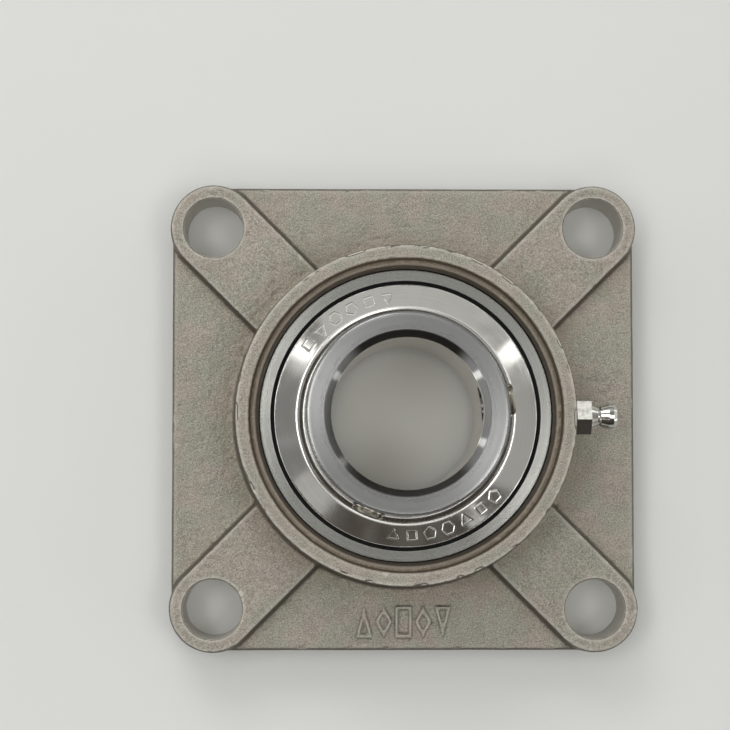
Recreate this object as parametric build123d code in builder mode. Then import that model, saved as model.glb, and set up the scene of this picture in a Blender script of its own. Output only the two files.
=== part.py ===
"""Square four-bolt flange unit: a cast stainless housing with a self-aligning ball bearing insert.

Millimetres. The origin is the centre of the mounting face, on the bearing axis. +Z points away from the
machine wall, towards the set screws, +X towards the grease nipple.
"""
from math import cos, radians, sin, sqrt, tan
import os

from build123d import *

os.makedirs("parts", exist_ok=True)

# Shaft and bearing: the 207 insert series
SHAFT_R = 17.5
BEARING_Z = 19.0
INNER_WIDTH = 42.9
INNER_FRONT_Z = 44.4
SHOULDER_R = 23.5
OUTER_WIDTH = 20.0
SPHERE_R = 36.0
BALL_COUNT = 9
BALL_R = 5.556
PITCH_R = 26.75
RACE_R = 5.778
RACE_PLAY = 0.02
OUTER_LAND_R = 30.2
FRONT_CHAMFER = 1.7
REAR_CHAMFER = 1.2
SHOULDER_ROUND = 0.6

# Housing
BOLT_PITCH = 92.0
BOLT_HOLE_R = 7.0
HOLE_ROUND = 0.5
PLATE_HALF = 56.1
PANEL_Z = 12.0
PLATE_EDGE = 1.2
BOSS_R = 10.45
BOSS_Z = 15.0
BOSS_EDGE = 0.7
HUB_R = 40.0
HUB_Z = 34.0
HUB_EDGE = 0.3
DRAFT = 2.0
ROOT = 1.5
SEAT_R = 36.05
SEAT_REAR_Z = 9.2
SEAT_FRONT_Z = 29.6
LIP_R = 36.6
LIP_MOUTH = 0.35
LEDGE_CROWN_R = 35.65
LEDGE_CROWN_Z = 31.8
LEDGE_INNER_R = 34.85
LEDGE_OUTER_R = 36.3
LEDGE_LOW_Z = 30.9
LEDGE_GROOVE_Z = 31.4
PLATE_CORNER_R = 9.95
BLANK_SIDE = 147.2
ROOT_LIMIT = 69.0

# One raised mark of five outlined figures, cast on the panel below the hub
MARK_FIGURES = ("standing", "diamond", "box", "diamond", "hanging")
MARK_PITCH = 4.75
MARK_WIDTH = 4.1
MARK_HEIGHT = 7.6
MARK_STROKE = 0.75
MARK_RISE = 0.5
MARK_DRAFT = 8.0
MARK_Y = -49.2

# Grease supply
GREASE_Z = 25.0
GREASE_HOLE_R = 1.25
RING_DRILL_R = 0.8
RING_DRILL_ANGLES = (30.0, 150.0, 270.0)
GROOVE_HALF = 1.2
GROOVE_DEPTH = 0.55

# Nipple, along +X at the grease height; x values are distances from the bearing axis
NIPPLE_THREAD_R = 3.0
NIPPLE_ROOT_X = 36.95
NIPPLE_HEX_X = 40.45
NIPPLE_HEX_THICK = 3.45
NIPPLE_HEX_FLATS = 8.0
NIPPLE_HEX_TURN = 11.0
NIPPLE_THREAD_PLAY = 0.03
NIPPLE_LEAD = 0.4
NIPPLE_CONE_X = 45.6
NIPPLE_CONE_R = 2.2
NIPPLE_NECK_X = 45.9
NIPPLE_NECK_R = 2.15
NIPPLE_HEAD_X = 46.3
NIPPLE_HEAD_R = 2.45
NIPPLE_WIDEST_X = 48.2
NIPPLE_WIDEST_R = 3.05
NIPPLE_NOSE_X = 49.3
NIPPLE_NOSE_R = 2.9
NIPPLE_TIP_X = 50.1
NIPPLE_TIP_R = 2.5
NIPPLE_TIP_EDGE = 0.1
NIPPLE_MOUTH_R = 0.85
NIPPLE_SEAT = 0.35
NIPPLE_CHAMBER_R = 1.2
NIPPLE_STEP_X = 43.5
NIPPLE_DRILL_R = 0.7
CHECK_BALL_R = 1.1
CHECK_BALL_X = 49.0
SPRING_WIRE_R = 0.15
SPRING_R = 0.8
SPRING_PITCH = 0.8
SPRING_REACH = 0.25

# Stop pin, on -X
PIN_R = 1.5
PIN_INNER = 33.4
PIN_OUTER = 37.3
PIN_SLOT_WIDTH = 3.2
PIN_SLOT_R = 37.7
PIN_SLOT_TOP = 22.8
PIN_CHAMFER = 0.3

# Loading notches, on the rear at +Y and -Y
NOTCH_WIDTH = 20.8

# Seals and slingers, as distances from the bearing's middle plane
SEAL_INNER = 7.1
SEAL_OUTER = 8.8
SEAL_R = 32.2
SEAL_LIP_R = 23.56
SEAL_LIP_LENGTH = 0.9
SEAL_LIP_REAR_CUT = 0.4
SEAL_LIP_FRONT_CUT = 0.7
STIFFENER_THICK = 0.6
STIFFENER_INNER_R = 25.0
STIFFENER_OUTER_R = 31.4
SEAL_GAP = 0.05
SEAL_GROOVE_R = 32.25
SEAL_MOUTH_R = 31.8
SLINGER_INNER = 9.1
SLINGER_THICK = 0.8
SLINGER_R = 31.1
COLLAR_R = 24.5
COLLAR_TOP = 12.0
COLLAR_BEND = 1.3

# Two arcs of small outlined figures stamped in the front slinger: first angle and count of each arc
STAMP_ARCS = ((99.0, 6), (264.0, 7))
STAMP_STEP = 9.0
STAMP_R = 28.2
STAMP_HALF = 1.9
STAMP_LINE = 0.3
STAMP_DEPTH = 0.15

# Cage
CAGE_INNER_R = 25.0
CAGE_OUTER_R = 28.5
CAGE_SHEET = 0.8
POCKET_R = 5.66
RIVET_R = 0.75
RIVET_HEAD_R = 1.3
RIVET_HEAD = 0.5

# Set screws: M8 x 1
SCREW_ANGLES = (8.0, 248.0)
SCREW_Z = 37.4
SCREW_R = 3.95
SCREW_HOLE_R = 4.0
SCREW_INNER_END = 18.4
SCREW_OUTER_END = 24.9
SCREW_PITCH = 1.0
SCREW_THREAD = 0.45
SCREW_SOCKET_FLATS = 4.0
SCREW_SOCKET_DEPTH = 3.2
SCREW_POINT_R = 1.5
SCREW_RIM_R = 2.2
SCREW_CUP = 0.9
SCREW_TAPER = 1.2
SCREW_CHAMFER = 0.6
THREAD_OVERRUN = 0.05
RIVET_PLAY = 0.05
OUTER_RING_CHAMFER = 0.45
OUTER_RING_EDGE = 0.3
THROUGH = 12.0

MID_PLANE = Plane.XY.offset(BEARING_Z)
SLOPE = tan(radians(DRAFT))


def outline(points, plane=Plane.XZ):
    """Returns the face inside a closed outline of straight lines."""
    with BuildSketch(plane) as face:
        with BuildLine():
            Polyline(*points, close=True)
        make_face()
    return face.sketch


def sphere_radius(radius, height):
    """Returns how far a sphere about the bearing's centre reaches from the axis at a height."""
    return sqrt(radius**2 - (height - BEARING_Z) ** 2)


def facing(angle, height):
    """Returns a plane on the bearing axis that looks outwards at an angle about it."""
    return Plane(
        origin=(0, 0, height),
        x_dir=(0, 0, 1),
        z_dir=(cos(radians(angle)), sin(radians(angle)), 0),
    )


def thread_rings(first, last, radius, depth):
    """Returns V-shaped rings about local Z, one pitch apart, that stand for a thread's grooves."""
    count = int((last - first) / SCREW_PITCH)
    flank = abs(depth)
    crest = radius + THREAD_OVERRUN if depth < 0 else radius - THREAD_OVERRUN
    with BuildPart() as rings:
        for turn in range(count):
            middle = first + (turn + 0.5) * SCREW_PITCH
            points = ((crest, middle - flank), (crest, middle + flank), (radius + depth, middle))
            revolve(outline(points), axis=Axis.Z)
    return rings.part


# ---------------------------------------------------------------- housing

# What the casting may fill: a plate with rounded edges, and the bosses and hub that rise from it.
with BuildPart() as casting_limit:
    foot_side = 2 * (PLATE_HALF + PANEL_Z * SLOPE)
    with BuildSketch():
        RectangleRounded(foot_side, foot_side, PLATE_CORNER_R)
    extrude(amount=PANEL_Z, taper=DRAFT)
    fillet(casting_limit.faces().sort_by(Axis.Z)[-1].edges(), PLATE_EDGE)
    inner_side = 2 * (PLATE_HALF - PLATE_EDGE - 0.1)
    with BuildSketch(Plane.XY.offset(1.0)):
        RectangleRounded(inner_side, inner_side, PLATE_CORNER_R - 1.0)
    extrude(amount=HUB_Z)
    rib_width = 2 * (BOSS_R + 0.1 + (BOSS_Z + 1) * SLOPE)
    with BuildSketch():
        for angle in (45, 135):
            SlotCenterToCenter(BOLT_PITCH * sqrt(2), rib_width, rotation=angle)
    extrude(amount=BOSS_Z + 1, taper=DRAFT)


def figure(kind):
    """Returns a closed figure: a triangle standing up or hanging down, a diamond or a box."""
    w = MARK_WIDTH / 2
    h = MARK_HEIGHT / 2
    shapes = {
        "standing": ((-w, -h), (w, -h), (0, h)),
        "hanging": ((-w, h), (0, -h), (w, h)),
        "diamond": ((-w, 0), (0, -h), (w, 0), (0, h)),
        "box": ((-w, -h), (w, -h), (w, h), (-w, h)),
    }
    return outline(shapes[kind], Plane.XY)


with BuildPart() as cast_mark:
    for place, kind in enumerate(MARK_FIGURES):
        shape = figure(kind)
        inside = offset(shape, amount=-MARK_STROKE, mode=Mode.PRIVATE)
        with BuildSketch(Plane.XY.offset(PANEL_Z - 0.2)):
            with Locations(((place - 2) * MARK_PITCH, MARK_Y)):
                add(shape)
                add(inside, mode=Mode.SUBTRACT)
    extrude(amount=MARK_RISE + 0.2, taper=MARK_DRAFT)


def is_root(edge):
    """Says whether an edge is an inside corner of the blank, at the foot of a rib or of the hub."""
    box = edge.bounding_box()
    middle = edge.center()
    inside = max(abs(middle.X), abs(middle.Y)) < ROOT_LIMIT
    on_panel = abs(box.min.Z - PANEL_Z) < 0.05 and abs(box.max.Z - PANEL_Z) < 0.05
    beside_hub = PANEL_Z - 0.05 < box.min.Z and box.max.Z < BOSS_Z + 0.05
    for corner in edge.vertices():
        wall = HUB_R + (HUB_Z - corner.Z) * SLOPE
        if abs(sqrt(corner.X**2 + corner.Y**2) - wall) > 0.01:
            beside_hub = False
    return inside and (on_panel or beside_hub)


with BuildPart() as housing:
    # crossed ribs whose round ends are the bolt bosses
    with BuildSketch():
        for angle in (45, 135):
            SlotCenterToCenter(BOLT_PITCH * sqrt(2), 2 * (BOSS_R + BOSS_Z * SLOPE), rotation=angle)
    extrude(amount=BOSS_Z, taper=DRAFT)
    fillet(housing.faces().sort_by(Axis.Z)[-1].edges(), BOSS_EDGE)
    # oversize plate and hub, then the fillets at their feet
    with BuildSketch():
        Rectangle(BLANK_SIDE, BLANK_SIDE)
    extrude(amount=PANEL_Z)
    with BuildSketch():
        Circle(HUB_R + HUB_Z * SLOPE)
    extrude(amount=HUB_Z, taper=DRAFT)
    fillet(housing.edges().filter_by(is_root), ROOT)
    fillet(housing.faces().sort_by(Axis.Z)[-1].edges(), HUB_EDGE)
    add(casting_limit.part, mode=Mode.INTERSECT)
    add(cast_mark.part)
    # spherical seat, open to the rear, with a rounded cast ledge in front of it and a lip round that
    with BuildSketch(Plane.XZ):
        with BuildLine():
            rear_r = sphere_radius(SEAT_R, SEAT_REAR_Z)
            front_r = sphere_radius(SEAT_R, SEAT_FRONT_Z)
            Polyline((0, HUB_Z + 1), (0, -1), (rear_r, -1), (rear_r, SEAT_REAR_Z))
            ThreePointArc((rear_r, SEAT_REAR_Z), (SEAT_R, BEARING_Z), (front_r, SEAT_FRONT_Z))
            ledge_inner = (LEDGE_INNER_R, LEDGE_LOW_Z)
            ledge_outer = (LEDGE_OUTER_R, LEDGE_GROOVE_Z)
            Line((front_r, SEAT_FRONT_Z), ledge_inner)
            ThreePointArc(ledge_inner, (LEDGE_CROWN_R, LEDGE_CROWN_Z), ledge_outer)
            Polyline(
                ledge_outer,
                (LIP_R, LEDGE_GROOVE_Z + LIP_MOUTH),
                (LIP_R, HUB_Z - LIP_MOUTH),
                (LIP_R + LIP_MOUTH, HUB_Z),
                (LIP_R + LIP_MOUTH, HUB_Z + 1),
                (0, HUB_Z + 1),
            )
        make_face()
    revolve(axis=Axis.Z, mode=Mode.SUBTRACT)
    # grease groove round the seat
    groove = ((SEAT_R - 2, GREASE_Z - GROOVE_HALF), (SEAT_R + 0.1, GREASE_Z - GROOVE_HALF),
              (SEAT_R + 0.1, GREASE_Z + GROOVE_HALF), (SEAT_R - 2, GREASE_Z + GROOVE_HALF))
    revolve(outline(groove), axis=Axis.Z, mode=Mode.SUBTRACT)
    # tapped hole for the nipple, and the drilling from it to the groove
    with BuildSketch(facing(0, GREASE_Z).offset(NIPPLE_ROOT_X - 0.05)):
        Circle(NIPPLE_THREAD_R)
    extrude(amount=HUB_R, mode=Mode.SUBTRACT)
    with BuildSketch(facing(0, GREASE_Z).offset(SEAT_R - 2)):
        Circle(GREASE_HOLE_R)
    extrude(amount=4.0, mode=Mode.SUBTRACT)
    # loading notches: the insert goes in edge on from the rear and is then turned into the seat
    with BuildSketch(Plane.XY.offset(-1)):
        Circle(SEAT_R)
        Rectangle(NOTCH_WIDTH, 3 * SEAT_R, mode=Mode.INTERSECT)
    extrude(amount=BEARING_Z + 1, mode=Mode.SUBTRACT)
    # slot for the stop pin, open to the rear
    with BuildSketch(Plane.XY.offset(-1)):
        with Locations((-PIN_SLOT_R / 2, 0)):
            Rectangle(PIN_SLOT_R, PIN_SLOT_WIDTH)
    extrude(amount=PIN_SLOT_TOP + 1, mode=Mode.SUBTRACT)
    # bolt holes with softened mouths
    with GridLocations(BOLT_PITCH, BOLT_PITCH, 2, 2):
        Hole(BOLT_HOLE_R)
    mouths = housing.edges().filter_by(GeomType.CIRCLE).filter_by(
        lambda edge: abs(edge.radius - BOLT_HOLE_R) < 0.01 and abs(edge.center().Z - BOSS_Z) < 0.01
    )
    fillet(mouths, HOLE_ROUND)
housing.part.label = "housing"
export_step(housing.part, "parts/housing.step")

# ---------------------------------------------------------------- outer ring and stop pin

with BuildPart() as outer_ring:
    top = BEARING_Z + OUTER_WIDTH / 2
    bottom = BEARING_Z - OUTER_WIDTH / 2
    top_edge = (sphere_radius(SPHERE_R, top - OUTER_RING_EDGE), top - OUTER_RING_EDGE)
    bottom_edge = (top_edge[0], bottom + OUTER_RING_EDGE)
    face_r = top_edge[0] - OUTER_RING_CHAMFER
    groove_high = BEARING_Z + SEAL_OUTER + SEAL_GAP
    groove_low = BEARING_Z - SEAL_OUTER - SEAL_GAP
    with BuildSketch(Plane.XZ):
        with BuildLine():
            Polyline(bottom_edge, (face_r, bottom), (SEAL_MOUTH_R, bottom))
            Polyline((SEAL_MOUTH_R, bottom), (SEAL_MOUTH_R, groove_low),
                     (SEAL_GROOVE_R, groove_low), (SEAL_GROOVE_R, BEARING_Z - SEAL_INNER),
                     (OUTER_LAND_R, BEARING_Z - SEAL_INNER), (OUTER_LAND_R, BEARING_Z + SEAL_INNER),
                     (SEAL_GROOVE_R, BEARING_Z + SEAL_INNER), (SEAL_GROOVE_R, groove_high),
                     (SEAL_MOUTH_R, groove_high), (SEAL_MOUTH_R, top))
            Polyline((SEAL_MOUTH_R, top), (face_r, top), top_edge)
            ThreePointArc(top_edge, (SPHERE_R, BEARING_Z), bottom_edge)
        make_face()
    revolve(axis=Axis.Z)
    # raceway
    with Locations((0, 0, BEARING_Z)):
        Torus(PITCH_R + BALL_R + RACE_PLAY - RACE_R, RACE_R, mode=Mode.SUBTRACT)
    # lubrication groove and its three drillings
    groove = ((sphere_radius(SPHERE_R, GREASE_Z) - GROOVE_DEPTH, GREASE_Z - GROOVE_HALF),
              (SPHERE_R + 1, GREASE_Z - GROOVE_HALF), (SPHERE_R + 1, GREASE_Z + GROOVE_HALF),
              (sphere_radius(SPHERE_R, GREASE_Z) - GROOVE_DEPTH, GREASE_Z + GROOVE_HALF))
    revolve(outline(groove), axis=Axis.Z, mode=Mode.SUBTRACT)
    for angle in RING_DRILL_ANGLES:
        with BuildSketch(facing(angle, GREASE_Z).offset(OUTER_LAND_R - 1)):
            Circle(RING_DRILL_R)
        extrude(amount=THROUGH, mode=Mode.SUBTRACT)
    # blind hole for the stop pin
    with BuildSketch(facing(180, BEARING_Z).offset(PIN_INNER - 0.05)):
        Circle(PIN_R + 0.03)
    extrude(amount=THROUGH, mode=Mode.SUBTRACT)
outer_ring.part.label = "outer_ring"
export_step(outer_ring.part, "parts/outer_ring.step")

with BuildPart() as stop_pin:
    with BuildSketch(facing(180, BEARING_Z).offset(PIN_INNER)):
        Circle(PIN_R)
    extrude(amount=PIN_OUTER - PIN_INNER)
    chamfer(stop_pin.edges().filter_by(GeomType.CIRCLE), PIN_CHAMFER)
stop_pin.part.label = "stop_pin"
export_step(stop_pin.part, "parts/stop_pin.step")

# ---------------------------------------------------------------- inner ring and set screws

with BuildPart() as inner_ring:
    rear = INNER_FRONT_Z - INNER_WIDTH
    profile = (
        (SHAFT_R, rear + REAR_CHAMFER),
        (SHAFT_R + REAR_CHAMFER, rear),
        (SHOULDER_R - SHOULDER_ROUND, rear),
        (SHOULDER_R, rear + SHOULDER_ROUND),
        (SHOULDER_R, INNER_FRONT_Z),
        (SHAFT_R + FRONT_CHAMFER, INNER_FRONT_Z),
        (SHAFT_R, INNER_FRONT_Z - FRONT_CHAMFER),
    )
    revolve(outline(profile), axis=Axis.Z)
    front_edge = inner_ring.edges().filter_by(GeomType.CIRCLE).filter_by(
        lambda edge: abs(edge.radius - SHOULDER_R) < 0.01 and edge.center().Z > BEARING_Z
    )
    fillet(front_edge, SHOULDER_ROUND)
    with Locations((0, 0, BEARING_Z)):
        Torus(PITCH_R - BALL_R - RACE_PLAY + RACE_R, RACE_R, mode=Mode.SUBTRACT)
    for angle in SCREW_ANGLES:
        with BuildSketch(facing(angle, SCREW_Z).offset(SHAFT_R - 3)):
            Circle(SCREW_HOLE_R)
        extrude(amount=THROUGH, mode=Mode.SUBTRACT)
        threads = thread_rings(SHAFT_R, SHOULDER_R, SCREW_HOLE_R, SCREW_THREAD)
        add(facing(angle, SCREW_Z).location * threads, mode=Mode.SUBTRACT)
inner_ring.part.label = "inner_ring"
export_step(inner_ring.part, "parts/inner_ring.step")


def set_screw(angle):
    """Returns one cup-point socket set screw that points at the bearing axis."""
    length = SCREW_OUTER_END - SCREW_INNER_END
    with BuildPart() as screw:
        profile = (
            (0, SCREW_CUP), (SCREW_POINT_R, 0), (SCREW_RIM_R, 0), (SCREW_R, SCREW_TAPER),
            (SCREW_R, length - SCREW_CHAMFER), (SCREW_R - SCREW_CHAMFER, length), (0, length),
        )
        revolve(outline(profile), axis=Axis.Z)
        add(thread_rings(SCREW_TAPER, length, SCREW_R, -SCREW_THREAD), mode=Mode.SUBTRACT)
        with BuildSketch(Plane.XY.offset(length)):
            RegularPolygon(SCREW_SOCKET_FLATS / 2, 6, major_radius=False)
        extrude(amount=-SCREW_SOCKET_DEPTH, mode=Mode.SUBTRACT)
    return facing(angle, SCREW_Z).offset(SCREW_INNER_END).location * screw.part


for number, angle in enumerate(SCREW_ANGLES, start=1):
    screw = set_screw(angle)
    screw.label = f"set_screw_{number}"
    export_step(screw, f"parts/set_screw_{number}.step")

# ---------------------------------------------------------------- balls and cage

for number in range(BALL_COUNT):
    angle = radians(number * 360 / BALL_COUNT)
    with BuildPart() as ball:
        with Locations((PITCH_R * cos(angle), PITCH_R * sin(angle), BEARING_Z)):
            Sphere(BALL_R)
    ball.part.label = f"ball_{number + 1}"
    export_step(ball.part, f"parts/ball_{number + 1}.step")


def cage_band():
    """Returns the flat ring that both cage halves are pressed from."""
    with BuildSketch(MID_PLANE) as band:
        Circle(CAGE_OUTER_R)
        Circle(CAGE_INNER_R, mode=Mode.SUBTRACT)
    return band.sketch


with BuildPart(MID_PLANE) as cage_front:
    extrude(cage_band(), amount=CAGE_SHEET)
    with PolarLocations(PITCH_R, BALL_COUNT):
        Sphere(POCKET_R + CAGE_SHEET)
    extrude(cage_band(), amount=BALL_R * 2, mode=Mode.INTERSECT)
    with PolarLocations(PITCH_R, BALL_COUNT):
        Sphere(POCKET_R, mode=Mode.SUBTRACT)
    with BuildSketch(MID_PLANE):
        with PolarLocations(PITCH_R, BALL_COUNT, start_angle=180 / BALL_COUNT):
            Circle(RIVET_R + RIVET_PLAY)
    extrude(amount=CAGE_SHEET, mode=Mode.SUBTRACT)
cage_front.part.label = "cage_front"
export_step(cage_front.part, "parts/cage_front.step")

with BuildPart() as cage_rear:
    mirror(cage_front.part, about=MID_PLANE)
cage_rear.part.label = "cage_rear"
export_step(cage_rear.part, "parts/cage_rear.step")

with BuildPart() as cage_rivets:
    for low, thick, radius in (
        (-CAGE_SHEET - RIVET_HEAD, RIVET_HEAD, RIVET_HEAD_R),
        (-CAGE_SHEET, 2 * CAGE_SHEET, RIVET_R),
        (CAGE_SHEET, RIVET_HEAD, RIVET_HEAD_R),
    ):
        with BuildSketch(MID_PLANE.offset(low)):
            with PolarLocations(PITCH_R, BALL_COUNT, start_angle=180 / BALL_COUNT):
                Circle(radius)
        extrude(amount=thick)
cage_rivets.part.label = "cage_rivets"
export_step(cage_rivets.part, "parts/cage_rivets.step")

# ---------------------------------------------------------------- seals and slingers

with BuildPart() as seal_plate_front:
    low = BEARING_Z + (SEAL_INNER + SEAL_OUTER - STIFFENER_THICK) / 2
    high = low + STIFFENER_THICK
    section = ((STIFFENER_INNER_R, low), (STIFFENER_OUTER_R, low), (STIFFENER_OUTER_R, high),
               (STIFFENER_INNER_R, high))
    revolve(outline(section), axis=Axis.Z)

with BuildPart() as seal_front:
    low = BEARING_Z + SEAL_INNER
    high = BEARING_Z + SEAL_OUTER
    lip_end = SEAL_LIP_R + SEAL_LIP_LENGTH
    section = ((SEAL_LIP_R, low + SEAL_LIP_REAR_CUT), (lip_end, low), (SEAL_R, low), (SEAL_R, high),
               (lip_end, high), (SEAL_LIP_R, high - SEAL_LIP_FRONT_CUT))
    revolve(outline(section), axis=Axis.Z)
    add(seal_plate_front.part, mode=Mode.SUBTRACT)


def stamp_figure(sides):
    """Returns a thin outlined polygon."""
    with BuildSketch() as stamp:
        RegularPolygon(STAMP_HALF, sides)
        RegularPolygon(STAMP_HALF - STAMP_LINE, sides, mode=Mode.SUBTRACT)
    return stamp.sketch


with BuildPart() as slinger_front:
    low = BEARING_Z + SLINGER_INNER
    high = low + SLINGER_THICK
    top = BEARING_Z + COLLAR_TOP
    with BuildSketch(Plane.XZ):
        with BuildLine():
            bend_start = (COLLAR_R + COLLAR_BEND, high)
            bend_end = (COLLAR_R, high + COLLAR_BEND)
            Polyline(bend_end, (COLLAR_R, top), (SHOULDER_R, top), (SHOULDER_R, low),
                     (SLINGER_R, low), (SLINGER_R, high), bend_start)
            RadiusArc(bend_start, bend_end, COLLAR_BEND)
        make_face()
    revolve(axis=Axis.Z)
slinger_blank = slinger_front.part
rear_slinger_blank = mirror(slinger_blank, about=MID_PLANE, mode=Mode.PRIVATE)

with BuildPart() as stamped_slinger:
    add(slinger_blank)
    for first_angle, count in STAMP_ARCS:
        for step in range(count):
            angle = first_angle + step * STAMP_STEP
            x = STAMP_R * cos(radians(angle))
            y = STAMP_R * sin(radians(angle))
            with BuildSketch(Plane.XY.offset(high)):
                with Locations(Location((x, y, 0), (0, 0, angle))):
                    add(stamp_figure(3 + step % 4))
    extrude(amount=-STAMP_DEPTH, mode=Mode.SUBTRACT)

for name, solid in (
    ("seal_plate_front", seal_plate_front.part),
    ("seal_front", seal_front.part),
    ("slinger_front", stamped_slinger.part),
    ("seal_plate_rear", mirror(seal_plate_front.part, about=MID_PLANE, mode=Mode.PRIVATE)),
    ("seal_rear", mirror(seal_front.part, about=MID_PLANE, mode=Mode.PRIVATE)),
    ("slinger_rear", rear_slinger_blank),
):
    solid.label = name
    export_step(solid, f"parts/{name}.step")

# ---------------------------------------------------------------- grease nipple

nipple_axis = Axis((0, 0, GREASE_Z), (1, 0, 0))
shank_r = NIPPLE_THREAD_R - NIPPLE_THREAD_PLAY
# outline of the turned body: distance along the nipple, distance from its axis
nipple_profile = (
    (NIPPLE_ROOT_X, NIPPLE_DRILL_R),
    (NIPPLE_ROOT_X, shank_r - NIPPLE_LEAD),
    (NIPPLE_ROOT_X + NIPPLE_LEAD, shank_r),
    (NIPPLE_HEX_X + NIPPLE_HEX_THICK, shank_r),
    (NIPPLE_CONE_X, NIPPLE_CONE_R),
    (NIPPLE_NECK_X, NIPPLE_NECK_R),
    (NIPPLE_HEAD_X, NIPPLE_HEAD_R),
    (NIPPLE_WIDEST_X, NIPPLE_WIDEST_R),
    (NIPPLE_NOSE_X, NIPPLE_NOSE_R),
    (NIPPLE_TIP_X - NIPPLE_TIP_EDGE, NIPPLE_TIP_R),
    (NIPPLE_TIP_X, NIPPLE_TIP_R - 2 * NIPPLE_TIP_EDGE),
    (NIPPLE_TIP_X, NIPPLE_MOUTH_R),
    (NIPPLE_TIP_X - NIPPLE_SEAT, NIPPLE_MOUTH_R),
    (NIPPLE_TIP_X - 2 * NIPPLE_SEAT, NIPPLE_CHAMBER_R),
    (NIPPLE_STEP_X, NIPPLE_CHAMBER_R),
    (NIPPLE_STEP_X, NIPPLE_DRILL_R),
)

with BuildPart() as grease_nipple:
    revolve(outline([(x, GREASE_Z + r) for x, r in nipple_profile]), axis=nipple_axis)
    with BuildSketch(facing(0, GREASE_Z).offset(NIPPLE_HEX_X)):
        RegularPolygon(NIPPLE_HEX_FLATS / 2, 6, major_radius=False, rotation=NIPPLE_HEX_TURN)
        Circle(NIPPLE_THREAD_R - 0.5, mode=Mode.SUBTRACT)
    extrude(amount=NIPPLE_HEX_THICK)
grease_nipple.part.label = "grease_nipple"
export_step(grease_nipple.part, "parts/grease_nipple.step")

with BuildPart() as nipple_ball:
    with Locations((CHECK_BALL_X, 0, GREASE_Z)):
        Sphere(CHECK_BALL_R)
nipple_ball.part.label = "nipple_ball"
export_step(nipple_ball.part, "parts/nipple_ball.step")

with BuildPart() as nipple_spring:
    start = NIPPLE_STEP_X + SPRING_WIRE_R
    length = CHECK_BALL_X - CHECK_BALL_R + SPRING_REACH - start
    with BuildLine():
        coil = Helix(SPRING_PITCH, length, SPRING_R, center=(start, 0, GREASE_Z), direction=(1, 0, 0))
    with BuildSketch(Plane(coil @ 0, z_dir=coil % 0)):
        Circle(SPRING_WIRE_R)
    sweep(is_frenet=True)
nipple_spring.part.label = "nipple_spring"
export_step(nipple_spring.part, "parts/nipple_spring.step")
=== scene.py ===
import math

import bpy
import numpy as np
from mathutils import Matrix, Vector


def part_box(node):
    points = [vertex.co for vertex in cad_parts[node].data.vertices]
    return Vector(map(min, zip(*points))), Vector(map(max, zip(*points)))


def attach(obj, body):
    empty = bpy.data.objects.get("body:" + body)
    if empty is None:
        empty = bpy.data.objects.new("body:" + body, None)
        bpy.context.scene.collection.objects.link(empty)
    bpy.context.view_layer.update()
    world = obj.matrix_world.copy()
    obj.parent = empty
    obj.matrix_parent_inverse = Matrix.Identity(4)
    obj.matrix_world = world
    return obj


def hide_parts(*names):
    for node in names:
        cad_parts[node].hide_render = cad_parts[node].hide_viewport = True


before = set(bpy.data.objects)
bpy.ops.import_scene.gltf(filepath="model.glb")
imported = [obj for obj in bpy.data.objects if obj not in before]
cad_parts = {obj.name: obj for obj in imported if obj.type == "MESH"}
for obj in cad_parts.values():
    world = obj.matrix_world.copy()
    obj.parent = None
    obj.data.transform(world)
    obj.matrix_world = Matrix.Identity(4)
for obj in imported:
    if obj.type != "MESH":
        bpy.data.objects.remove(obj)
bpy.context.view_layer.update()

# ---------------------------------------------------------------- sizes, metres
MM = 0.001
SHAFT_AXIS_HEIGHT = 19.0 * MM      # centre of the spherical seat above the mounting face
SEAT_CLEAR_R = 36.09 * MM          # every seat point of the casting stays outside this radius
SEAT_INNER_R = 30.0 * MM           # nothing of the seat lies inside this radius
HUB_R = 40.0 * MM
HUB_TOP = 34.0 * MM
HUB_MOUTH_R = 36.9 * MM            # the machined seat and mouth of the hub lie inside this radius
MACHINED_FROM = 8.8 * MM           # and above this height
BORE_R = 17.5 * MM
INNER_RING_CHAMFER_R = 18.9 * MM
INNER_RING_ROUNDING = (22.2 * MM, 1.3 * MM, 0.30 * MM)      # of its outer edge: start, width, drop
COLLAR_FINISH_R = 25.6 * MM        # inside this radius the slinger's collar is duller than its disc
OUTER_RING_CORNER_R = 34.3 * MM
NIPPLE_NECK_X = 45.9 * MM
BOLT_HOLE_AT = 46.0 * MM           # each hole centre along both axes
BOLT_HOLE_R = 7.0 * MM
VOXEL = 0.33 * MM
HOUSING_TRIANGLES = 190000

# unevenness of the cast skin: size across, depth, seed of its noise
SKIN_WAVES = (14 * MM, 0.055 * MM, 11)
SKIN_DENTS = (2.6 * MM, 0.035 * MM, 23)
SKIN_GRAIN = (0.8 * MM, 0.012 * MM, 31)
SKIN_PITS = (1.5 * MM, 0.16 * MM, 57)
PIT_NOISE = (0.62, 0.92)           # noise where a pit starts and where it is deepest
EDGE_WEAR = 0.62 * MM              # deepest wear of the hub's outer edge
# where that wear lies: size across, seed, noise where it starts and where it is full
WEAR_STRETCHES = (12 * MM, 71, -0.6, 0.3)
WEAR_CHIPS = (2.1 * MM, 67, 0.0, 0.6)
TURNED_LINE = 0.12 * MM            # width of the lathe and grinding lines

CAMERA_AT = Vector((-0.01816, -0.01837, 0.5425))
CAMERA_AIM = Vector((-0.00907, 0.01359, 0.0))
LENS_MM = 107.9
SENSOR_MM = 36.0


# ---------------------------------------------------------------- repeatable noise for mesh points
def lattice(ix, iy, iz, seed):
    """One repeatable number from -1 to 1 for each lattice point."""
    h = ix * 73856093 ^ iy * 19349663 ^ iz * 83492791 ^ seed * 15485863
    h = (h ^ (h >> 13)) * 1274126177
    h = h ^ (h >> 16)
    return (h & 0xFFFF) / 32767.5 - 1.0


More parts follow.
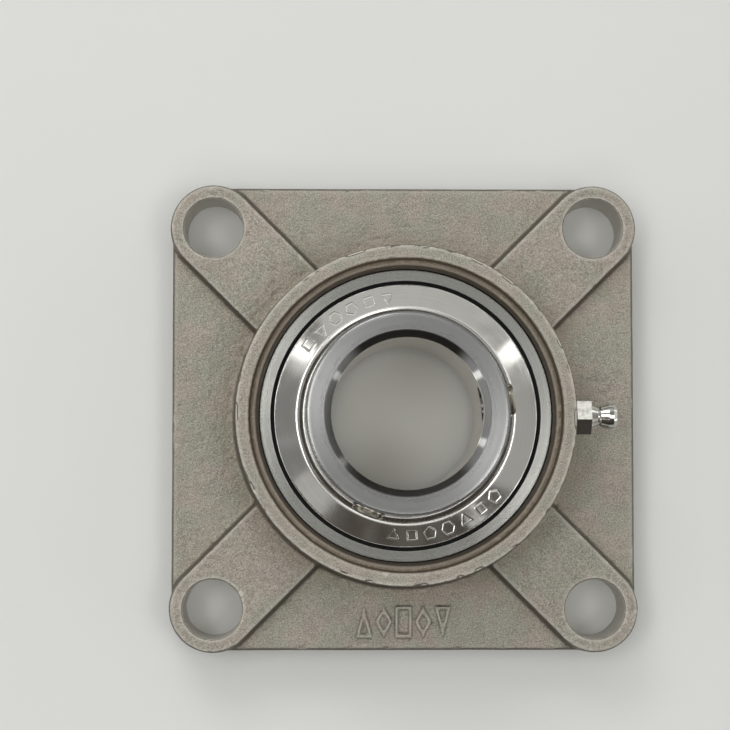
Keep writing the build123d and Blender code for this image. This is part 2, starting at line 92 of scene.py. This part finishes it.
def smooth_noise(points, size, seed):
    """Smooth noise from -1 to 1 with bumps about size across."""
    scaled = points / size
    base = np.floor(scaled).astype(np.int64)
    part = scaled - base
    part = part * part * (3.0 - 2.0 * part)
    total = np.zeros(len(points))
    for dx in (0, 1):
        wx = part[:, 0] if dx else 1.0 - part[:, 0]
        for dy in (0, 1):
            wy = part[:, 1] if dy else 1.0 - part[:, 1]
            for dz in (0, 1):
                wz = part[:, 2] if dz else 1.0 - part[:, 2]
                total += wx * wy * wz * lattice(base[:, 0] + dx, base[:, 1] + dy, base[:, 2] + dz, seed)
    return total


def layered_noise(points, size, seed, layers):
    """Several smooth noises, each half the size and half the height of the one before."""
    total = np.zeros(len(points))
    for k in range(layers):
        total += 0.5 ** k * smooth_noise(points + 0.37 * k * size, size / 2 ** k, seed + k)
    return total / (2.0 - 0.5 ** (layers - 1))


def ramp01(value, low, high):
    """0 at low, 1 at high, smooth between them."""
    t = np.clip((value - low) / (high - low), 0.0, 1.0)
    return t * t * (3.0 - 2.0 * t)


# ---------------------------------------------------------------- mesh helpers
def points_of(mesh):
    flat = np.zeros(len(mesh.vertices) * 3, np.float32)
    mesh.vertices.foreach_get("co", flat)
    return flat.reshape(-1, 3).astype(float)


def normals_of(mesh):
    flat = np.zeros(len(mesh.vertices) * 3, np.float32)
    mesh.vertex_normals.foreach_get("vector", flat)
    return flat.reshape(-1, 3).astype(float)


def set_points(mesh, points):
    mesh.vertices.foreach_set("co", points.astype(np.float32).ravel())
    mesh.update()


def apply_modifiers(obj):
    bpy.context.view_layer.update()
    evaluated = obj.evaluated_get(bpy.context.evaluated_depsgraph_get())
    mesh = bpy.data.meshes.new_from_object(evaluated)
    obj.modifiers.clear()
    obj.data = mesh
    return mesh


def triangles_in(mesh):
    sizes = np.zeros(len(mesh.polygons), np.int32)
    mesh.polygons.foreach_get("loop_total", sizes)
    return int((sizes - 2).sum())


def new_object(name, mesh):
    obj = bpy.data.objects.new(name, mesh)
    bpy.context.scene.collection.objects.link(obj)
    return obj


def stepped(corners, step):
    """The outline with extra points; step holds, for each corner, the longest run after it."""
    points = []
    for k, (start, length) in enumerate(zip(corners, step)):
        end = corners[(k + 1) % len(corners)]
        out = end[0] - start[0]
        up = end[1] - start[1]
        count = max(1, math.ceil(math.dist(start, end) / length))
        for n in range(count):
            points.append((start[0] + out * n / count, start[1] + up * n / count))
    return points


def lathe(name, outline, segments):
    """A closed ring about the bearing axis from an outline of (radius, height) points."""
    outline = np.array(outline)
    angles = np.arange(segments) * 2 * math.pi / segments
    count = len(outline)
    points = np.zeros((segments, count, 3))
    points[:, :, 0] = np.cos(angles)[:, None] * outline[None, :, 0]
    points[:, :, 1] = np.sin(angles)[:, None] * outline[None, :, 0]
    points[:, :, 2] = outline[None, :, 1]
    here, along = np.meshgrid(np.arange(segments), np.arange(count), indexing="ij")
    after = (here + 1) % segments
    up = (along + 1) % count
    low_edge = (here * count + along, after * count + along)
    high_edge = (after * count + up, here * count + up)
    quads = np.stack(low_edge + high_edge, axis=-1)
    mesh = bpy.data.meshes.new(name)
    mesh.from_pydata(points.reshape(-1, 3).tolist(), [], quads.reshape(-1, 4).tolist())
    mesh.polygons.foreach_set("use_smooth", [True] * len(mesh.polygons))
    mesh.set_sharp_from_angle(angle=math.radians(40))
    mesh.update()
    return new_object(name, mesh)


def arc(centre, radius, start, end, count):
    """Points of an arc in the outline's plane, from start to end in degrees."""
    turns = [math.radians(start + (end - start) * k / count) for k in range(count + 1)]
    return [(centre[0] + radius * math.cos(t), centre[1] + radius * math.sin(t)) for t in turns]


# ---------------------------------------------------------------- node helpers
def map_range(nodes, low, high, to_low, to_high, smooth=True):
    """A Map Range node for low..high to to_low..to_high."""
    node = nodes.new("ShaderNodeMapRange")
    node.interpolation_type = "SMOOTHSTEP" if smooth else "LINEAR"
    limits = (("From Min", low), ("From Max", high), ("To Min", to_low), ("To Max", to_high))
    for name, number in limits:
        node.inputs[name].default_value = number
    return node


class Tree:
    """A material's node tree with short calls for the nodes used here."""

    def __init__(self, name):
        self.mat = bpy.data.materials.new(name)
        self.mat.use_nodes = True
        self.nodes = self.mat.node_tree.nodes
        self.links = self.mat.node_tree.links
        self.nodes.clear()
        out = self.nodes.new("ShaderNodeOutputMaterial")
        self.bsdf = self.nodes.new("ShaderNodeBsdfPrincipled")
        self.links.new(self.bsdf.outputs[0], out.inputs[0])
        self.coords = self.nodes.new("ShaderNodeTexCoord").outputs["Object"]

    def put(self, value, socket):
        if isinstance(value, bpy.types.NodeSocket):
            self.links.new(value, socket)
        else:
            socket.default_value = value

    def set(self, name, value):
        self.put(value, self.bsdf.inputs[name])

    def math(self, kind, a, b=0.0):
        node = self.nodes.new("ShaderNodeMath")
        node.operation = kind
        for k, value in enumerate((a, b)):
            self.put(value, node.inputs[k])
        return node.outputs[0]

    def noise(self, size, detail=2.0, rough=0.5):
        """Noise from 0 to 1 with features about size metres across."""
        node = self.nodes.new("ShaderNodeTexNoise")
        node.inputs["Scale"].default_value = 1.0 / size
        node.inputs["Detail"].default_value = detail
        node.inputs["Roughness"].default_value = rough
        self.links.new(self.coords, node.inputs["Vector"])
        return node.outputs["Fac"]

    def line_noise(self, value, size, detail=2.0, rough=0.6):
        """Noise along one number, in bands about size wide."""
        node = self.nodes.new("ShaderNodeTexNoise")
        node.noise_dimensions = "1D"
        node.inputs["Scale"].default_value = 1.0 / size
        node.inputs["Detail"].default_value = detail
        node.inputs["Roughness"].default_value = rough
        self.links.new(value, node.inputs["W"])
        return node.outputs["Fac"]

    def span(self, value, low, high, to_low=0.0, to_high=1.0, smooth=True):
        """value from low..high mapped to to_low..to_high and held there outside."""
        node = map_range(self.nodes, low, high, to_low, to_high, smooth)
        self.put(value, node.inputs["Value"])
        return node.outputs["Result"]

    def mix(self, factor, a, b):
        node = self.nodes.new("ShaderNodeMix")
        node.data_type = "RGBA"
        self.put(factor, node.inputs[0])
        self.put(a, node.inputs[6])
        self.put(b, node.inputs[7])
        return node.outputs[2]

    def axis_values(self):
        """Sets x, y, z and the radius r from the bearing axis of the shaded point."""
        parts = self.nodes.new("ShaderNodeSeparateXYZ")
        self.links.new(self.coords, parts.inputs[0])
        self.x, self.y, self.z = parts.outputs
        self.r = self.length(self.x, self.y)

    def length(self, a, b):
        """Length of the hypotenuse of a and b."""
        return self.math("SQRT", self.math("ADD", self.math("MULTIPLY", a, a), self.math("MULTIPLY", b, b)))

    def hollow(self, distance, inside=False):
        """Ambient occlusion from 0, hidden, to 1, open."""
        node = self.nodes.new("ShaderNodeAmbientOcclusion")
        node.samples = 6
        node.inside = inside
        node.inputs["Distance"].default_value = distance
        return node.outputs["AO"]

    def bump(self, height, strength, distance, before=None):
        node = self.nodes.new("ShaderNodeBump")
        node.inputs["Strength"].default_value = strength
        node.inputs["Distance"].default_value = distance
        self.links.new(height, node.inputs["Height"])
        if before is not None:
            self.links.new(before, node.inputs["Normal"])
        return node.outputs["Normal"]

    def radial_tangent(self):
        node = self.nodes.new("ShaderNodeTangent")
        node.direction_type = "RADIAL"
        node.axis = "Z"
        self.links.new(node.outputs[0], self.bsdf.inputs["Tangent"])


def rgb(r, g, b):
    return (r, g, b, 1.0)


# ---------------------------------------------------------------- materials
def cast_stainless():
    """Blasted and pickled investment casting."""
    t = Tree("cast_stainless_look")
    t.axis_values()
    patch = t.noise(11 * MM, 3.0, 0.6)
    patch_small = t.noise(3.5 * MM, 3.0, 0.6)
    grain = t.noise(0.32 * MM, 2.0, 0.6)
    fine = t.noise(0.18 * MM, 1.0, 0.5)
    open_near = t.hollow(1.6 * MM)
    open_far = t.hollow(7.0 * MM)
    edge = t.hollow(1.2 * MM, inside=True)
    bend = t.nodes.new("ShaderNodeNewGeometry").outputs["Pointiness"]
    facing = t.nodes.new("ShaderNodeSeparateXYZ")
    t.links.new(t.nodes.new("ShaderNodeTexCoord").outputs["Normal"], facing.inputs[0])
    upward = facing.outputs[2]
    across = t.math("SUBTRACT", t.math("ABSOLUTE", t.x), BOLT_HOLE_AT)
    along = t.math("SUBTRACT", t.math("ABSOLUTE", t.y), BOLT_HOLE_AT)
    past_hole = t.math("SUBTRACT", t.length(across, along), BOLT_HOLE_R)
    # share and colour of each layer, painted one over another on a greenish grey
    layers = (
        (t.span(patch, 0.42, 0.58), rgb(0.364, 0.317, 0.272)),                       # warm patches
        (t.span(patch_small, 0.38, 0.66, 0.0, 0.50), rgb(0.262, 0.240, 0.203)),      # brown spots
        (t.span(grain, 0.45, 0.75, 0.0, 0.75), rgb(0.480, 0.450, 0.393)),            # pale grains
        (t.span(grain, 0.55, 0.25, 0.0, 0.72), rgb(0.150, 0.137, 0.112)),            # dark grains
        (t.span(open_near, 0.82, 0.50, 0.0, 0.90), rgb(0.062, 0.043, 0.027)),        # painted shade in corners
        (t.span(open_far, 0.92, 0.60, 0.0, 0.40), rgb(0.270, 0.215, 0.140)),         # painted brown shade in hollows
        (t.span(bend, 0.515, 0.580, 0.0, 0.65), rgb(0.600, 0.570, 0.510)),           # painted highlight on ridges
        (t.span(bend, 0.485, 0.430, 0.0, 0.60), rgb(0.100, 0.085, 0.065)),           # painted shade in grooves
        (t.span(edge, 0.96, 0.68, 0.0, 0.64), rgb(0.680, 0.650, 0.590)),             # painted highlight on edges
        (t.span(upward, 0.955, 0.70, 0.0, 0.78), rgb(0.095, 0.080, 0.061)),          # painted shade on steep sides
        (t.span(t.r, 36.6 * MM, 37.7 * MM, 0.42, 0.0), rgb(0.190, 0.135, 0.088)),    # painted shade in the mouth of the hub
        (t.span(t.r, 34.9 * MM, 36.0 * MM, 0.60, 0.0), rgb(0.085, 0.068, 0.050)),    # painted shade in the seat by the outer ring
        (t.span(past_hole, 0.34 * MM, 0.56 * MM, 0.75, 0.0), rgb(0.120, 0.104, 0.083)),    # painted shade at the hole mouths
        (t.span(past_hole, 0.20 * MM, 0.30 * MM, 0.90, 0.0), rgb(0.600, 0.575, 0.525)),    # painted light on the bolt holes' walls
    )
    colour = rgb(0.318, 0.313, 0.256)
    for share, tint in layers:
        colour = t.mix(share, colour, tint)
    t.set("Base Color", colour)
    t.set("Metallic", 0.55)
    t.set("Roughness", t.span(grain, 0.2, 0.8, 0.62, 0.44))
    height = t.math("ADD", t.math("MULTIPLY", grain, 0.7), t.math("MULTIPLY", fine, 0.3))
    coarse = t.bump(t.noise(1.2 * MM, 2.0, 0.6), 1.0, 0.32 * MM)
    t.links.new(t.bump(height, 0.90, 0.20 * MM, coarse), t.bsdf.inputs["Normal"])
    return t.mat


def turned_steel(name, base, rough, aniso, lines, rounding=None, inner_finish=None, inner_base=None,
                 stained_beyond=None):
    """Bright steel with fine lathe or grinding lines round the bearing axis.

    rounding is where a rounded edge starts, its width and its drop; inner_finish is a radius, the width
    of the change there and what the roughness is multiplied by inside it; inner_base is the bore's colour.
    """
    t = Tree(name)
    t.axis_values()
    along = t.math("ADD", t.r, t.math("MULTIPLY", t.z, 0.83))
    marks = t.line_noise(along, TURNED_LINE, 4.0, 0.7)
    broad = t.line_noise(along, 9.0 * TURNED_LINE, 2.0, 0.5)
    cloud = t.noise(5 * MM, 3.0, 0.6)
    dark = tuple(0.82 * c for c in base[:3]) + (1.0,)
    colour = t.mix(t.span(marks, 0.3, 0.7), dark, base)
    if inner_base:
        colour = t.mix(t.span(t.r, BORE_R, BORE_R + 0.15 * MM, 1.0, 0.0), colour, inner_base)
    if stained_beyond:
        # painted shade: past this radius the steel darkens to near black, standing in for the shade in the
        # gap at the ring's corner
        stain = t.span(t.r, stained_beyond, stained_beyond + 0.25 * MM, 0.0, 0.85)
        colour = t.mix(stain, colour, rgb(0.040, 0.033, 0.026))
    t.set("Base Color", colour)
    t.set("Metallic", 1.0)
    banded = t.span(broad, 0.3, 0.7, rough * 0.93, rough * 1.07)
    surface = t.math("ADD", banded, t.span(cloud, 0.3, 0.7, -0.012, 0.012))
    if inner_finish:
        limit, change, share = inner_finish
        surface = t.math("MULTIPLY", surface, t.span(t.r, limit, limit + change, share, 1.0))
    t.set("Roughness", surface)
    t.set("Anisotropic", aniso)
    t.set("Anisotropic Rotation", 0.25)
    t.radial_tangent()
    normal = t.bump(marks, lines, 0.010 * MM)
    if rounding:
        start, width, drop = rounding
        across = t.span(t.r, start, start + width, 0.0, 1.0, smooth=False)
        normal = t.bump(t.math("SUBTRACT", 1.0, t.math("MULTIPLY", across, across)), 1.0, drop, normal)
    t.links.new(normal, t.bsdf.inputs["Normal"])
    return t.mat


def seal_rubber():
    """Black nitrile rubber with a fine dull grain."""
    t = Tree("seal_rubber_look")
    grain = t.noise(0.25 * MM, 3.0, 0.6)
    patch = t.noise(4 * MM, 2.0, 0.5)
    black = rgb(0.003, 0.003, 0.003)
    worn_black = rgb(0.006, 0.006, 0.0055)
    t.set("Base Color", t.mix(t.span(patch, 0.3, 0.7), black, worn_black))
    t.set("Specular IOR Level", 0.2)
    t.set("Roughness", t.span(grain, 0.3, 0.7, 0.62, 0.80))
    t.links.new(t.bump(grain, 0.4, 0.02 * MM), t.bsdf.inputs["Normal"])
    return t.mat


def small_steel(name, base, rough, polished_beyond=None):
    """Plain bright steel of balls, rivets, springs and screws, with handling marks."""
    t = Tree(name)
    t.axis_values()
    grain = t.noise(0.12 * MM, 3.0, 0.6)
    patch = t.noise(1.7 * MM, 3.0, 0.6)
    dark = tuple(0.72 * c for c in base[:3]) + (1.0,)
    t.set("Base Color", t.mix(t.span(patch, 0.35, 0.7), base, dark))
    t.set("Metallic", 1.0)
    surface = t.span(patch, 0.3, 0.7, rough * 0.8, rough * 1.25)
    if polished_beyond:
        polish = t.span(t.x, polished_beyond, polished_beyond + 0.4 * MM, 1.0, 0.60)
        surface = t.math("MULTIPLY", surface, polish)
    t.set("Roughness", surface)
    t.links.new(t.bump(grain, 0.35, 0.006 * MM), t.bsdf.inputs["Normal"])
    return t.mat


# ---------------------------------------------------------------- the casting
def make_housing(node):
    """The cast flange, rebuilt as a dense skin with a real casting's unevenness."""
    mesh = node.data.copy()
    mesh.materials.clear()
    obj = new_object("housing_casting", mesh)
    remesh = obj.modifiers.new("skin", "REMESH")
    remesh.mode = "VOXEL"
    remesh.voxel_size = VOXEL
    mesh = apply_modifiers(obj)
    shape_casting(mesh)
    ratio = HOUSING_TRIANGLES / triangles_in(mesh)
    if ratio < 1.0:
        reduce = obj.modifiers.new("reduce", "DECIMATE")
        reduce.ratio = ratio
        mesh = apply_modifiers(obj)
    keep_seat_clear(mesh)
    mesh.polygons.foreach_set("use_smooth", [True] * len(mesh.polygons))
    mesh.update()
    return obj


def shape_casting(mesh):
    """Waves, dents, pits and a worn hub edge, always pushed into the casting."""
    points = points_of(mesh)
    normals = normals_of(mesh)
    low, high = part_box("housing")
    radius = np.hypot(points[:, 0], points[:, 1])
    height = points[:, 2]
    cast = ramp01(height, 0.2 * MM, 1.0 * MM)      # the mounting face stays flat
    in_mouth = (radius < HUB_MOUTH_R) & (height > MACHINED_FROM) & (height < HUB_TOP + 0.3 * MM)
    machined = np.where(in_mouth, 0.0, 1.0)
    push = np.zeros(len(points))
    for (size, depth, seed), layers in ((SKIN_WAVES, 2), (SKIN_DENTS, 2), (SKIN_GRAIN, 1)):
        push += depth * (layered_noise(points, size, seed, layers) - 1.0)
    size, depth, seed = SKIN_PITS
    push -= depth * ramp01(smooth_noise(points, size, seed), *PIT_NOISE)
    hub_edge = ramp01(radius, HUB_R - 1.0 * MM, HUB_R - 0.3 * MM)
    hub_edge *= ramp01(height, HUB_TOP - 0.9 * MM, HUB_TOP)
    hub_edge *= 1.0 - ramp01(radius, HUB_R + 0.8 * MM, HUB_R + 1.2 * MM)
    worn = np.ones(len(points))
    for size, seed, start, full in (WEAR_STRETCHES, WEAR_CHIPS):
        worn *= ramp01(smooth_noise(points, size, seed), start, full)
    push -= EDGE_WEAR * worn * hub_edge
    points += normals * (push * cast * machined)[:, None]
    points[:, 2] = np.clip(points[:, 2], low.z, high.z)
    set_points(mesh, points)


def keep_seat_clear(mesh):
    """Every point of the spherical seat stays clear of the outer ring that turns in it."""
    points = points_of(mesh)
    centre = np.array((0.0, 0.0, SHAFT_AXIS_HEIGHT))
    away = points - centre
    distance = np.linalg.norm(away, axis=1)
    near = (distance < SEAT_CLEAR_R) & (distance > SEAT_INNER_R)
    points[near] = centre + away[near] * (SEAT_CLEAR_R / distance[near])[:, None]
    low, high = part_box("housing")
    points[:, 2] = np.clip(points[:, 2], low.z, high.z)
    set_points(mesh, points)


# ---------------------------------------------------------------- slingers
SLINGER_R = 30.9 * MM
SLINGER_BORE_R = 23.5 * MM
SLINGER_EDGE = 0.16 * MM                  # radius of the rounded rim
COLLAR_R = 24.35 * MM
COLLAR_BEND = 1.5 * MM
COLLAR_LIP = 0.4 * MM
SLINGER_SHEET = 0.8 * MM
SLINGER_DISH = math.radians(2.6)
STAMP_R = 28.2 * MM
STAMP_HALF = 1.65 * MM
STAMP_LINE = 0.11 * MM
STAMP_DEPTH = 0.028 * MM
STAMP_STEP = math.radians(9.0)
STAMP_ARCS = ((99.0, 6), (264.0, 7))      # first figure in degrees, how many figures
FRONT_SEGMENTS = 1180
REAR_SEGMENTS = 360
DISC_WAVE = (7.0 * MM, 0.018 * MM, 41)    # size across, depth, seed


def make_slinger(name, node, front):
    """A pressed and polished ring: a slightly dished disc with a collar on the inner ring."""
    low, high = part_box(node)
    bottom, top = 0.0, high.z - low.z
    face = bottom + SLINGER_SHEET
    rise = (SLINGER_R - COLLAR_R - COLLAR_BEND) * math.tan(SLINGER_DISH)
    bend_centre = (COLLAR_R + COLLAR_BEND, face + rise + COLLAR_BEND)
    bend = arc(bend_centre, COLLAR_BEND, 180, 270, 12)
    rim = arc((SLINGER_R - SLINGER_EDGE, face - SLINGER_EDGE), SLINGER_EDGE, 90, 0, 5)
    foot = arc((SLINGER_R - SLINGER_EDGE, bottom + SLINGER_EDGE), SLINGER_EDGE, 0, -90, 4)
    collar = arc((COLLAR_R - COLLAR_LIP, top - COLLAR_LIP), COLLAR_LIP, 90, 0, 8)
    corners = collar + bend + rim + foot + [(SLINGER_BORE_R, bottom), (SLINGER_BORE_R, top)]
    fine, coarse = 0.15 * MM, 1.0 * MM
    steps = [coarse] * len(corners)
    disc_start = len(collar) + len(bend) - 1
    steps[disc_start] = fine
    ring = lathe(name, stepped(corners, steps), FRONT_SEGMENTS if front else REAR_SEGMENTS)
    mesh = ring.data
    points = points_of(mesh)
    radius = np.hypot(points[:, 0], points[:, 1])
    on_disc = (radius > COLLAR_R + COLLAR_BEND * 0.8) & (radius < SLINGER_R - SLINGER_EDGE)
    on_disc &= points[:, 2] > face * 0.7
    size, depth, seed = DISC_WAVE
    sag = layered_noise(points, size, seed, 2) - 1.0
    push = np.where(on_disc, depth * sag, 0.0)
    if front:
        push -= STAMP_DEPTH * np.where(on_disc, stamp_depth(points), 0.0)
    points[:, 2] += push
    if front:
        points[:, 2] += low.z
    else:
        points[:, 2] = high.z - points[:, 2]
        mesh.flip_normals()
    set_points(mesh, points)
    return ring


def stamp_depth(points):
    """1 in the stamped lines of the two arcs of outlined figures, 0 elsewhere."""
    depth = np.zeros(len(points))
    for first_angle, count in STAMP_ARCS:
        for step in range(count):
            angle = math.radians(first_angle) + step * STAMP_STEP
            sides = 3 + step % 4
            dx = points[:, 0] - STAMP_R * math.cos(angle)
            dy = points[:, 1] - STAMP_R * math.sin(angle)
            turn = np.arctan2(dy, dx) - angle
            sector = 2 * math.pi / sides
            inside = np.mod(turn + sector / 2, sector) - sector / 2
            flat = np.hypot(dx, dy) * np.cos(inside) / math.cos(sector / 2)
            from_line = np.abs(flat - STAMP_HALF + STAMP_LINE)
            depth = np.maximum(depth, 1.0 - ramp01(from_line, STAMP_LINE * 0.5, STAMP_LINE * 1.5))
    return depth


# ---------------------------------------------------------------- assembly
def dress(node_names, material):
    """Puts a material on CAD nodes that keep their own mesh."""
    for name in node_names:
        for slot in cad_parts[name].material_slots:
            slot.material = material


cast = cast_stainless()
housing = make_housing(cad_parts["housing"])
housing.data.materials.append(cast)
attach(housing, "housing")
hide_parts("housing")

# the outer ring gets a painted shade past its corner radius, by the housing's seat
dress(("outer_ring",),
      turned_steel("ring_face_steel", rgb(0.380, 0.378, 0.357), 0.26, 0.85, 0.02,
                   stained_beyond=OUTER_RING_CORNER_R))
dress(("inner_ring",),
      turned_steel("inner_ring_steel", rgb(0.315, 0.314, 0.312), 0.29, 0.75, 0.02,
                   rounding=INNER_RING_ROUNDING,
                   inner_finish=(INNER_RING_CHAMFER_R, 0.15 * MM, 0.42),
                   inner_base=rgb(0.690, 0.655, 0.575)))
spun = turned_steel("spun_steel", rgb(0.66, 0.645, 0.615), 0.07, 0.3, 0.006,
                    inner_finish=(COLLAR_FINISH_R, 0.6 * MM, 3.4))
for node, front in (("slinger_front", True), ("slinger_rear", False)):
    ring = make_slinger(node + "_pressed", node, front)
    ring.data.materials.append(spun)
    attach(ring, "inner_race")
    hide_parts(node)
dress(("seal_front", "seal_rear"), seal_rubber())
dress(("seal_plate_front", "seal_plate_rear", "cage_front", "cage_rear", "cage_rivets"),
      small_steel("pressed_sheet", rgb(0.45, 0.44, 0.42), 0.32))
dress(["ball_%d" % k for k in range(1, 10)] + ["nipple_ball", "stop_pin"],
      small_steel("ball_steel_look", rgb(0.66, 0.66, 0.66), 0.08))
dress(("grease_nipple", "nipple_spring"),
      small_steel("nipple_steel_look", rgb(0.62, 0.61, 0.57), 0.20, polished_beyond=NIPPLE_NECK_X))
dress(("set_screw_1", "set_screw_2"), small_steel("screw_steel_look", rgb(0.50, 0.47, 0.42), 0.28))


# ---------------------------------------------------------------- floor, light and camera
FLOOR_HALF = 6.0
FLOOR_GAP = 0.05 * MM


def make_floor():
    """A pale table under the mounting face."""
    mesh = bpy.data.meshes.new("floor")
    corners = [(x * FLOOR_HALF, y * FLOOR_HALF, 0.0) for x, y in ((-1, -1), (1, -1), (1, 1), (-1, 1))]
    mesh.from_pydata(corners, [], [(0, 1, 2, 3)])
    floor = new_object("floor", mesh)
    floor.location.z = -FLOOR_GAP
    t = Tree("floor_look")
    patch = t.noise(180 * MM, 2.0, 0.5)
    t.set("Base Color", t.mix(patch, rgb(0.690, 0.695, 0.677), rgb(0.722, 0.724, 0.704)))
    t.set("Roughness", t.span(t.noise(2 * MM, 2.0), 0.3, 0.7, 0.50, 0.58))
    mesh.materials.append(t.mat)


LAMP_DISTANCE = 1.3
# name, turn about the axis and lean from straight up in degrees, size in metres, watts
LAMPS = (
    ("lamp_left", 170, 23, (0.60, 0.30), 2.4),
    ("lamp_right", -18, 23, (0.50, 0.30), 1.8),
    ("lamp_far", 112, 50, (0.60, 0.40), 3.2),
    ("lamp_near", 262, 33, (0.90, 0.26), 1.4),
)


def make_lamp(name, turn, lean, size, watts):
    """A soft lamp over the table, aimed at the middle of the mounting face."""
    data = bpy.data.lights.new(name, "AREA")
    data.shape = "RECTANGLE"
    data.size, data.size_y = size
    data.energy = watts
    lamp = bpy.data.objects.new(name, data)
    bpy.context.scene.collection.objects.link(lamp)
    turn, lean = math.radians(turn), math.radians(lean)
    out = LAMP_DISTANCE * math.sin(lean)
    lamp.location = (out * math.cos(turn), out * math.sin(turn), LAMP_DISTANCE * math.cos(lean))
    lamp.rotation_euler = (-lamp.location).to_track_quat("-Z", "Y").to_euler()


# patches of sky: turn from and to, lean from and to, soft edge, all in degrees, then strength
SKY_PATCHES = (
    (43, 116, 3.5, 12.0, 0.5, 0.60),
    (122, 138, 3.5, 12.0, 0.4, 0.45),
    (138, 205, 3.5, 12.0, 0.9, 0.19),
    (205, 230, 3.5, 12.0, 0.5, 0.55),
    (-23, 45, 3.5, 12.0, 0.9, 0.40),
    (126, 132, 4.5, 14.0, 0.25, 3.0),
    (32, 37, 4.5, 13.0, 0.20, 2.5),
    (-37, -33, 6.5, 15.0, 0.25, 1.2),
    (231, 238, 7.5, 14.0, 0.25, 2.6),
    (262, 268, 5.0, 12.0, 0.8, 0.14),
    (286, 292, 5.0, 12.0, 0.8, 0.12),
    (304, 307, 5.0, 12.0, 0.4, 0.16),
    (172, 180, 5.0, 12.0, 0.6, 0.14),
    (135, 225, 13.5, 26.0, 1.3, 1.05),
    (-45, 45, 13.5, 26.0, 1.3, 0.90),
    (163, 169, 12.5, 25.0, 0.6, 7.0),
    (-27, -20, 12.5, 25.0, 0.6, 6.0),
    (24, 30, 12.5, 25.0, 0.6, 3.0),
    (68, 112, 31.0, 46.0, 3.0, 1.1),
    (45, 135, 13.5, 26.0, 1.3, 1.10),
    (225, 315, 13.5, 26.0, 1.3, 1.00),
    (35, 145, 48.0, 80.0, 5.0, 0.35),
    (-28, -22, 68.0, 89.0, 1.0, 2.2),
    (34, 40, 68.0, 89.0, 1.0, 2.2),
    (153, 159, 68.0, 89.0, 1.0, 2.2),
    (205, 211, 68.0, 89.0, 1.0, 2.2),
    (-45, 45, 66.0, 89.0, 8.0, 0.80),
    (135, 225, 66.0, 89.0, 8.0, 0.80),
)
SKY_LOW = 0.12
SKY_MIDDLE = 0.30
SKY_TOP_SHARE = 0.34
SKY_NEAR_SHARE = 0.25


def make_world():
    """A dim room with soft panels round the top, which the polished steel shows, and a dark middle."""
    world = bpy.data.worlds.new("studio")
    bpy.context.scene.world = world
    world.use_nodes = True
    nodes = world.node_tree.nodes
    links = world.node_tree.links
    toward = nodes.new("ShaderNodeTexCoord").outputs["Generated"]
    parts = nodes.new("ShaderNodeSeparateXYZ")
    links.new(toward, parts.inputs[0])
    y, z = parts.outputs[1:]

    def span(value, low, high, to_low, to_high):
        node = map_range(nodes, low, high, to_low, to_high)
        links.new(value, node.inputs["Value"])
        return node.outputs["Result"]

    def combine(kind, first, *others):
        for other in others:
            node = nodes.new("ShaderNodeMath")
            node.operation = kind
            links.new(first, node.inputs[0])
            links.new(other, node.inputs[1])
            first = node.outputs[0]
        return first

    def past(turn, soft, way):
        """0 on one side of the upright plane at this turn, 1 on the other."""
        node = nodes.new("ShaderNodeVectorMath")
        node.operation = "DOT_PRODUCT"
        links.new(toward, node.inputs[0])
        turn = math.radians(turn)
        node.inputs[1].default_value = (-way * math.sin(turn), way * math.cos(turn), 0.0)
        edge = math.sin(math.radians(soft))
        return span(node.outputs["Value"], -edge, edge, 0.0, 1.0)

    def height_at(lean):
        return math.cos(math.radians(lean))

    def patch(turn_from, turn_to, lean_from, lean_to, soft, strength):
        outer = span(z, height_at(lean_to + soft), height_at(lean_to - soft), 0.0, 1.0)
        inner = span(z, height_at(lean_from + soft), height_at(lean_from - soft), strength, 0.0)
        return combine("MULTIPLY", past(turn_from, soft, 1), past(turn_to, soft, -1), outer, inner)

    # the room brightens upward from the horizon and is dark straight above and toward the near side
    room = combine("MULTIPLY", span(z, 0.0, 0.40, SKY_LOW, SKY_MIDDLE),
                   span(z, 0.86, 0.95, 1.0, SKY_TOP_SHARE), span(y, -0.75, 0.05, SKY_NEAR_SHARE, 1.0))
    strength = combine("ADD", room, *[patch(*numbers) for numbers in SKY_PATCHES])
    links.new(strength, nodes["Background"].inputs["Strength"])
    # the dim parts are warmer than the panels
    tint = nodes.new("ShaderNodeMix")
    tint.data_type = "RGBA"
    links.new(span(strength, 0.08, 0.30, 0.0, 1.0), tint.inputs[0])
    tint.inputs[6].default_value = rgb(1.0, 0.88, 0.77)
    tint.inputs[7].default_value = rgb(0.985, 0.995, 0.970)
    links.new(tint.outputs[2], nodes["Background"].inputs["Color"])


def make_camera():
    data = bpy.data.cameras.new("camera")
    data.lens = LENS_MM
    data.sensor_width = SENSOR_MM
    data.clip_start = 0.01
    data.clip_end = 20.0
    camera = bpy.data.objects.new("camera", data)
    bpy.context.scene.collection.objects.link(camera)
    look = (CAMERA_AIM - CAMERA_AT).normalized()
    right = look.cross(Vector((0.0, 1.0, 0.0))).normalized()
    up = right.cross(look)
    turn = Matrix((right, up, -look)).transposed()
    camera.matrix_world = Matrix.Translation(CAMERA_AT) @ turn.to_4x4()
    bpy.context.scene.camera = camera


make_floor()
make_world()
for lamp in LAMPS:
    make_lamp(*lamp)
make_camera()
bpy.context.scene.view_settings.view_transform = "Standard"
